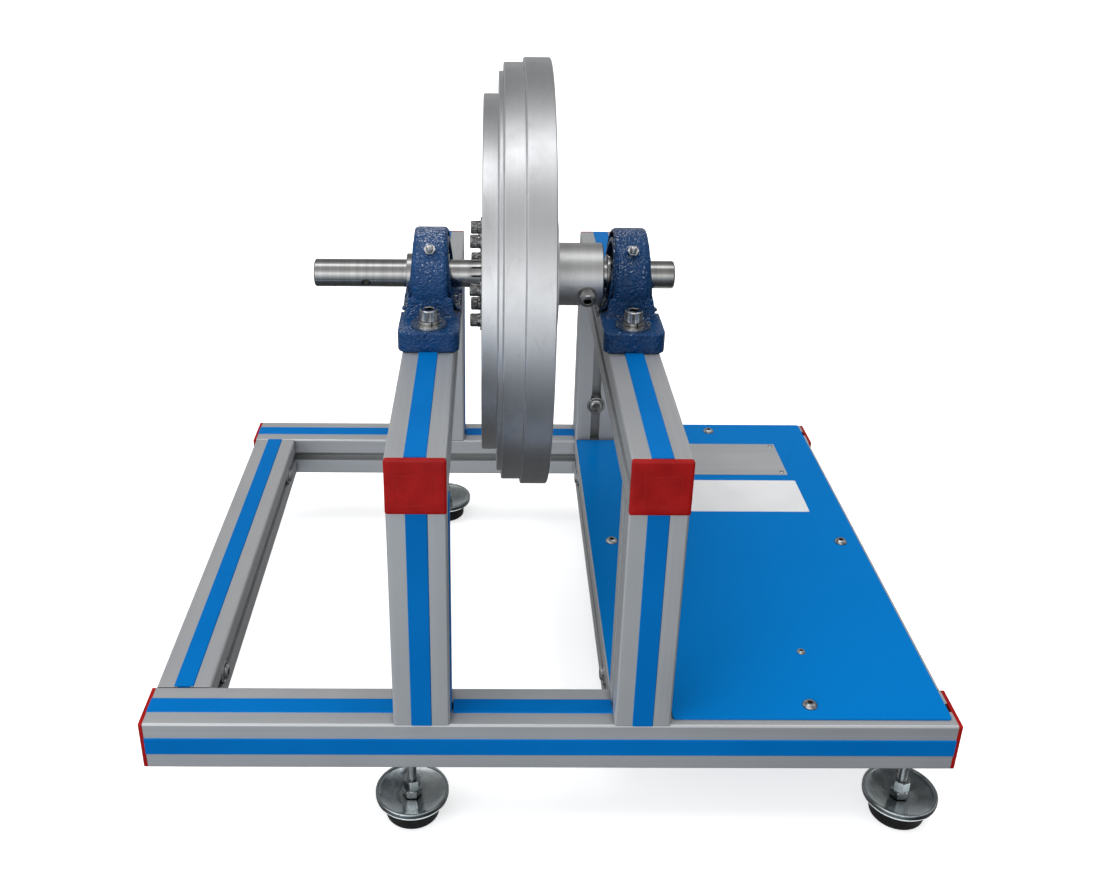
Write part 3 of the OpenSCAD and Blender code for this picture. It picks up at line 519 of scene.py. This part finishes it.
BEVELS = {
    "front_beam": 0.35, "rear_beam": 0.35, "left_rail": 0.35, "middle_rail": 0.35, "right_rail": 0.35,
    "end_caps": 0.14, "base_cover_strips": 0.2, "portal_cover_strips": 0.2, "base_panel": 0.2,
    "disc_a": 0.25, "disc_b": 0.25, "disc_c": 0.25, "disc_d": 0.25, "hub": 0.35, "shaft": 0.25,
    "bearing_inner_rings": 0.3, "label_plate": 0.12, "nameplate": 0.15, "nameplate_rivets": 0.12,
    "panel_screws": 0.2, "rail_connectors": 0.2, "post_joint_bolts": 0.2, "bearing_washers": 0.2,
    "disc_washers": 0.15, "grease_nipples": 0.2, "bearing_seals": 0.15, "bearing_set_screws": 0.12,
    "bearing_balls": 0.0, "bearing_cages": 0.15, "slot_nuts": 0.25,
}


def dress(name, o):
    o.modifiers.new("clean", "NODES").node_group = CLEAN
    if name != "base_panel":
        d = o.modifiers.new("flats", "DECIMATE")
        d.decimate_type, d.angle_limit = "DISSOLVE", math.radians(0.3)
    w = BEVELS.get(name, 0.3)
    if w > 0:
        b = o.modifiers.new("edges", "BEVEL")
        b.width, b.segments, b.use_clamp_overlap = w * MM, 2, False
        b.limit_method, b.angle_limit = "ANGLE", math.radians(32)
    o.modifiers.new("shade", "NODES").node_group = SMOOTH
    n = o.modifiers.new("weights", "WEIGHTED_NORMAL")
    n.mode, n.weight, n.keep_sharp = "FACE_AREA", 100, True


def cast(name, o):
    """Sand-cast skin: voxel skin, softened edges, shallow lumps."""
    o.modifiers.new("clean", "NODES").node_group = CLEAN
    r = o.modifiers.new("skin", "REMESH")
    r.mode, r.voxel_size, r.adaptivity, r.use_smooth_shade = "VOXEL", 0.75 * MM, 0.0, True
    s = o.modifiers.new("soften", "SMOOTH")
    s.factor, s.iterations = 0.5, 8
    for k, (size, height) in enumerate(((9.0, 0.22), (2.6, 0.08))):
        tex = bpy.data.textures.new("cast_lumps_%d_%s" % (k, name), "CLOUDS")
        tex.noise_scale, tex.noise_depth = size * MM, 2
        p = o.modifiers.new("lumps_%d" % k, "DISPLACE")
        p.texture, p.texture_coords, p.strength, p.mid_level = tex, "LOCAL", height * MM, 0.55


def paint(o, mat):
    if not o.material_slots:
        o.data.materials.append(None)
    for s in o.material_slots:
        s.link = "OBJECT"
        s.material = mat


AXIS_OF_BAR = {}
for n in NODES:
    if n.endswith("beam"):
        AXIS_OF_BAR[n] = "x"
    elif n.endswith("rail") or n.endswith("top_member"):
        AXIS_OF_BAR[n] = "y"
    elif n.endswith("post"):
        AXIS_OF_BAR[n] = "z"

for n, o in NODES.items():
    (cast if n.endswith("housing") else dress)(n, o)
    mat = BAR[AXIS_OF_BAR[n]] if n in AXIS_OF_BAR else MATS[{"hub": "hub_satin", "disc_washers": "dark_washer"}.get(n, SLOT_OF[n])]
    paint(o, mat)

NODES["base_panel"].visible_glossy = False


# ---- own pieces -------------------------------------------------------

def obj_from(name, bm, mat, body, slot, *nodes):
    bmesh.ops.recalc_face_normals(bm, faces=bm.faces)
    me = bpy.data.meshes.new(name)
    bm.to_mesh(me)
    bm.free()
    o = bpy.data.objects.new(name, me)
    SCENE.collection.objects.link(o)
    me.materials.append(mat)
    o.modifiers.new("shade", "NODES").node_group = SMOOTH
    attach(o, body)
    if nodes:
        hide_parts(*nodes)
    return o


def tube(bm, rings, place, start_pole=None, end_pole=None):
    """Joins rings of equal point count into one skin; poles close the two ends."""
    vs = [[bm.verts.new(place @ Vector(p)) for p in ring] for ring in rings]
    n = len(rings[0])
    for a, b in zip(vs, vs[1:]):
        for i in range(n):
            j = (i + 1) % n
            bm.faces.new((a[i], a[j], b[j], b[i]))
    for ring, pole, flip in ((vs[0], start_pole, True), (vs[-1], end_pole, False)):
        if pole is not None:
            c = bm.verts.new(place @ Vector(pole))
            for i in range(n):
                j = (i + 1) % n
                bm.faces.new((ring[j], ring[i], c) if flip else (ring[i], ring[j], c))


def ring(r, z, n=96, f=None):
    return [((f(a) if f else r) * math.cos(a), (f(a) if f else r) * math.sin(a), z)
            for a in (2 * math.pi * i / n for i in range(n))]


def hexagon(across, z, n):
    return ring(0, z, n, lambda a: across / 2 / math.cos(a % (math.pi / 3) - math.pi / 6))


def thread_r(z, a, crest, root, pitch):
    """Radius of a right-hand thread at height z and angle a."""
    u = ((z - pitch * a / (2 * math.pi)) / pitch) % 1.0
    t = abs(u - 0.5) * 2.0                       # 0 in the middle of the crest, 1 in the root
    return crest - (crest - root) * min(1.0, max(0.0, (t - 0.16) / 0.62))


def socket_screw(bm, place, d, length, head_d, head_h, across, deep, pitch, ridges, thread_len, n):
    """Socket screw under its seat at z = 0: threaded end, plain shank, knurled head with a hex socket."""
    k = MM
    rings = []
    z = -length
    end = -length + thread_len
    rings.append(ring((d / 2 - 1.1 * pitch * 0.6) * k, z * k, n))
    step = pitch / 6
    z += 0.25 * pitch
    while z < end:
        fade = min(1.0, (z + length) / (1.2 * pitch))
        rings.append(ring(0, z * k, n, lambda a, z=z, fade=fade: min(
            thread_r(z, a, d / 2, d / 2 - 0.61 * pitch, pitch), d / 2 - (1 - fade) * 0.6 * pitch) * k))
        z += step
    rings.append(ring((d / 2 - 0.02) * k, end * k, n))
    rings.append(ring((d / 2 - 0.02) * k, -0.3 * k, n))
    rings.append(ring((d / 2 + 0.2) * k, 0, n))
    low = head_d / 2 - 0.45
    rings.append(ring(low * k, 0, n))
    rings.append(ring((head_d / 2 - 0.12) * k, 0.35 * k, n))

    def knurl(a):
        u = (a * ridges / (2 * math.pi)) % 1.0
        return (head_d / 2 - 0.42 * (1 - abs(2 * u - 1)) ** 1.3) * k
    rings.append(ring(0, 0.9 * k, n, knurl))
    rings.append(ring(0, (head_h - 1.5) * k, n, knurl))
    rings.append(ring((head_d / 2 - 0.1) * k, (head_h - 1.05) * k, n))
    rings.append(ring((head_d / 2 - 0.2) * k, (head_h - 0.55) * k, n))
    rings.append(ring((head_d / 2 - 0.75) * k, (head_h - 0.08) * k, n))
    rings.append(ring((head_d / 2 - 1.2) * k, head_h * k, n))
    rings.append(hexagon((across + 0.75) * k, head_h * k, n))
    rings.append(hexagon((across + 0.1) * k, (head_h - 0.4) * k, n))
    rings.append(hexagon(across * k, (head_h - 0.7) * k, n))
    rings.append(hexagon(across * k, (head_h - deep) * k, n))
    tube(bm, rings, place, (0, 0, -length * k), (0, 0, (head_h - deep - across * 0.22) * k))


def turn_x(deg):
    return Matrix.Rotation(math.radians(deg), 4, "X")


def at(x, y, z):
    return Matrix.Translation((x * MM, y * MM, z * MM))


def spin_z(deg):
    return Matrix.Rotation(math.radians(deg), 4, "Z")


def middle(node):
    lo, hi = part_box(node)
    return (lo + hi) / 2


LEFT_X = middle("left_bearing_housing").x / MM
RIGHT_X = middle("right_bearing_housing").x / MM
BOLT_Y, TOP_Z, BASE_T = 59.5, 356.0, 18.0
DISC_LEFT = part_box("disc_a")[0].x / MM

bm = bmesh.new()
for i, (x, s) in enumerate(((LEFT_X, -1), (LEFT_X, 1), (RIGHT_X, -1), (RIGHT_X, 1))):
    socket_screw(bm, at(x, s * BOLT_Y, TOP_Z + BASE_T + 5) @ spin_z(17 + 41 * i), 10, 34.5, 16, 10, 8, 5.5, 1.5, 36, 26, 144)
obj_from("bearing_bolts_knurled", bm, MATS[SLOT_OF["bearing_bolts"]], "frame", SLOT_OF["bearing_bolts"], "bearing_bolts")

STACK = 4.7
bm = bmesh.new()
for k in range(6):
    place = at(DISC_LEFT - STACK, 0, 400) @ Matrix.Rotation(math.radians(29.5 + 60 * k), 4, "X") @ at(0, 0, 42.4) @ Matrix.Rotation(math.radians(-90), 4, "Y")
    socket_screw(bm, place @ spin_z(23 * k), 6, 7 - DISC_LEFT + STACK, 12, 6.6, 5, 3.6, 1.0, 22, 30, 132)
obj_from("disc_bolts_knurled", bm, MATS["black_screw"], "rotor", SLOT_OF["disc_bolts"], "disc_bolts")

bm = bmesh.new()
HUB_R = 28.3
place = at(34.5, 0, 400) @ Matrix.Rotation(math.radians(111), 4, "X") @ at(0, 0, HUB_R - 1.35)
socket_screw(bm, place @ spin_z(12), 8, HUB_R - 1.35 - 12.5 - 0.1, 14, 10.5, 6, 6, 1.25, 36, 13, 144)
obj_from("hub_clamp_screw_knurled", bm, MATS["dark_screw"], "rotor", SLOT_OF["hub_clamp_screw"], "hub_clamp_screw")


def foot_stud(bm, x, y):
    """Ball foot, hex collar and rolled right-hand M8 thread."""
    k, n = MM, 48
    rings = [ring(5.2 * k, 13.2 * k, n), ring(6.6 * k, 13.5 * k, n), ring(7.0 * k, 14.2 * k, n), ring(7.0 * k, 15.6 * k, n),
             ring(6.4 * k, 16.4 * k, n), ring(4.0 * k, 16.6 * k, n), ring(4.0 * k, 19.0 * k, n), ring(6.7 * k, 19.0 * k, n)]
    hx = lambda z, grow: ring(0, z * k, n, lambda a: min(7.0 / math.cos((a % (math.pi / 3)) - math.pi / 6), grow) * k)
    rings += [hx(19.05, 6.75), hx(19.5, 7.55), hx(20.0, 8.1), hx(25.5, 8.1), hx(26.0, 7.55), hx(26.45, 6.75)]
    rings += [ring(6.6 * k, 26.5 * k, n), ring(3.7 * k, 26.52 * k, n)]
    z, pitch = 26.6, 1.25
    while z < 83.0:
        fade = min(1.0, (83.9 - z) / 1.2)
        rings.append(ring(0, z * k, n, lambda a, z=z, fade=fade: min(thread_r(z, a, 4.0, 3.36, pitch), 3.2 + 0.8 * fade) * k))
        z += pitch / 7
    rings += [ring(3.25 * k, 83.8 * k, n), ring(3.0 * k, 84.0 * k, n)]
    tube(bm, rings, at(x, y, 0), (0, 0, 13.2 * k), (0, 0, 84.0 * k))


for c in ("fl", "fr", "rl", "rr"):
    mid = middle("foot_stud_" + c)
    bm = bmesh.new()
    foot_stud(bm, mid.x / MM, mid.y / MM)
    obj_from("foot_stud_threaded_" + c, bm, MATS["zinc"], "stud_" + c, SLOT_OF["foot_stud_" + c], "foot_stud_" + c)


# ---- floor, light -----------------------------------------------------

def make_floor():
    me = bpy.data.meshes.new("floor")
    bm = bmesh.new()
    bmesh.ops.create_grid(bm, x_segments=8, y_segments=8, size=60.0)
    bm.to_mesh(me)
    bm.free()
    o = bpy.data.objects.new("floor", me)
    SCENE.collection.objects.link(o)
    m = Mat("floor_paper", Roughness=0.9, Specular_IOR_Level=0.1, Emission_Color=(1.0, 1.0, 1.0, 1.0))
    cloud = m.noise(m.co(), 1.3, 3.0, 0.5)
    m.set(Base_Color=m.mix(m.span(cloud, 0.3, 0.7), (0.9, 0.9, 0.9), (0.93, 0.93, 0.93)))
    p = m.parts(m.co())
    away = m.math("SQRT", m.math("ADD", m.math("MULTIPLY", p[0], p[0]), m.math("MULTIPLY", p[1], p[1])))
    m.set(Emission_Strength=m.span(away, 0.5, 1.8, 0.62, 1.0))
    # the paper shows in metal only where it is close, as under the feet
    path = m.t.nodes.new("ShaderNodeLightPath")
    gone = m.math("MULTIPLY", m.math("GREATER_THAN", path.outputs["Ray Length"], 0.024), path.outputs["Is Glossy Ray"])
    clear, both = m.t.nodes.new("ShaderNodeBsdfTransparent"), m.t.nodes.new("ShaderNodeMixShader")
    for a, b in ((gone, both.inputs[0]), (m.s.outputs[0], both.inputs[1]), (clear.outputs[0], both.inputs[2]), (both.outputs[0], m.out.inputs[0])):
        m.t.links.new(a, b)
    me.materials.append(m.m)
    o.visible_diffuse = False
    return o


make_floor()


def area(name, place, target, size, power, tone=(1.0, 1.0, 1.0)):
    """A soft panel that lights the matt surfaces; what the metals mirror is the world."""
    d = bpy.data.lights.new(name, "AREA")
    d.shape, d.size, d.energy, d.color = "SQUARE", size, power, tone
    o = bpy.data.objects.new(name, d)
    SCENE.collection.objects.link(o)
    o.location = place
    o.rotation_euler = (Vector(target) - Vector(place)).to_track_quat("-Z", "Y").to_euler()
    o.visible_glossy = False
    return o


def glint(name, place, target, size, power, nodes):
    """A small bright lamp that only the glossy paint of the castings sees."""
    o = area(name, place, target, size, power)
    o.visible_glossy = True
    o.visible_diffuse = o.visible_camera = False
    lit = bpy.data.collections.new(name + "_lit")
    for n in nodes:
        lit.objects.link(NODES[n])
    o.light_linking.receiver_collection = lit


area("overhead", (0.0, 0.1, 3.2), (0, 0.05, 0), 3.0, 46.0)
area("key", (-1.05, -1.25, 0.8), (0, 0, 0.2), 0.9, 5.0, (0.93, 1.0, 1.08))
area("low", (-0.05, -0.95, 0.02), (-0.05, -0.2, 0.08), 0.7, 0.9, (0.9, 1.0, 1.1)).visible_camera = False
CASTINGS = ("left_bearing_housing", "right_bearing_housing")
glint("glint_front", (-0.3, -1.05, 1.7), (0, 0, 0.4), 0.36, 15.0, CASTINGS)
glint("glint_back", (-0.2, 1.0, 1.2), (0, 0, 0.4), 0.35, 5.0, CASTINGS)

# What the room gives, by the angle round the shaft line: 0 towards the photographer, 90 up, 180 behind.
ROOM = ((-180, 0.42), (-168, 0.45), (-156, 0.3), (-144, 0.16), (-120, 0.09), (-95, 0.07), (-70, 0.08), (-48, 0.13), (-32, 0.24),
        (-20, 0.48), (-10, 0.78), (0, 1.05), (8, 1.35), (16, 1.3), (24, 0.86), (34, 0.58), (46, 0.46), (58, 0.42), (68, 0.56), (76, 1.12),
        (83, 2.1), (89, 2.0), (96, 1.05), (106, 0.5), (118, 0.3), (134, 0.22), (150, 0.24), (165, 0.42), (180, 0.42))
SIDE = ((-90, 0.12), (-35, 0.16), (-12, 0.3), (0, 0.42), (20, 0.6), (40, 0.6), (90, 0.9))
ROOM_GAIN = 0.88


def make_world():
    """The room as the metals mirror it; the camera sees plain white paper."""
    w = bpy.data.worlds.new("studio")
    SCENE.world = w
    w.use_nodes = True
    t = w.node_tree
    t.nodes.clear()

    def put(sock, v):
        if isinstance(v, bpy.types.NodeSocket):
            t.links.new(v, sock)
        else:
            sock.default_value = v

    def calc(op, a, b=0.0, clamp=False):
        n = t.nodes.new("ShaderNodeMath")
        n.operation, n.use_clamp = op, clamp
        put(n.inputs[0], a)
        put(n.inputs[1], b)
        return n.outputs[0]

    def span(v, a, b, lo, hi):
        n = t.nodes.new("ShaderNodeMapRange")
        n.interpolation_type = "SMOOTHSTEP"
        put(n.inputs["Value"], v)
        for k, x in (("From Min", a), ("From Max", b), ("To Min", lo), ("To Max", hi)):
            n.inputs[k].default_value = x
        return n.outputs["Result"]

    def ramp(v, stops, place):
        n = t.nodes.new("ShaderNodeValToRGB")
        put(n.inputs[0], v)
        els = n.color_ramp.elements
        while len(els) > 1:
            els.remove(els[-1])
        top = max(s[1] for s in stops)
        for k, (deg, g) in enumerate(stops):
            e = els[0] if k == 0 else els.new(place(deg))
            e.position = place(deg)
            e.color = (g / top, g / top, g / top, 1.0)
        return calc("MULTIPLY", n.outputs[0], top)

    co = t.nodes.new("ShaderNodeTexCoord")
    sep = t.nodes.new("ShaderNodeSeparateXYZ")
    t.links.new(co.outputs["Generated"], sep.inputs[0])
    x, y, z = sep.outputs
    turn = calc("ADD", calc("DIVIDE", calc("ARCTAN2", z, calc("MULTIPLY", y, -1.0)), 2 * math.pi), 0.5)
    room = ramp(turn, ROOM, lambda deg: deg / 360 + 0.5)
    side = ramp(calc("ADD", calc("MULTIPLY", z, 0.5), 0.5), SIDE, lambda deg: (math.sin(math.radians(deg)) + 1) / 2)
    lean = calc("SUBTRACT", 1.0, calc("MULTIPLY", calc("MULTIPLY", x, 1.35), span(y, -0.5, 0.2, 1.0, 0.0)))
    room = calc("MULTIPLY", room, calc("MAXIMUM", lean, 0.25))
    side = calc("MULTIPLY", side, span(x, -1.0, 1.0, 0.85, 0.45))
    f = span(calc("ABSOLUTE", x), 0.6, 0.95, 0.0, 1.0)
    level = calc("ADD", calc("MULTIPLY", room, calc("SUBTRACT", 1.0, f)), calc("MULTIPLY", side, f))
    level = calc("MULTIPLY", level, ROOM_GAIN)
    seen = t.nodes.new("ShaderNodeLightPath").outputs["Is Camera Ray"]
    level = calc("ADD", calc("MULTIPLY", level, calc("SUBTRACT", 1.0, seen)), calc("MULTIPLY", seen, 1.0))
    cool = calc("MULTIPLY", span(z, -0.5, 0.15, 1.0, 0.0), span(y, -0.4, 0.2, 1.0, 0.0))
    tone = t.nodes.new("ShaderNodeCombineColor")
    for sock, plain, cold in zip(tone.inputs, (0.995, 1.0, 1.01), (-0.09, 0.0, 0.1)):
        put(sock, calc("MULTIPLY", level, calc("ADD", plain, calc("MULTIPLY", cool, cold))))
    bg = t.nodes.new("ShaderNodeBackground")
    t.links.new(tone.outputs[0], bg.inputs["Color"])
    out = t.nodes.new("ShaderNodeOutputWorld")
    t.links.new(bg.outputs[0], out.inputs[0])


make_world()

SCENE.view_settings.view_transform = "Standard"
SCENE.view_settings.look = "None"
SCENE.view_settings.exposure = 0.0
SCENE.view_settings.gamma = 1.0

bpy.context.view_layer.update()
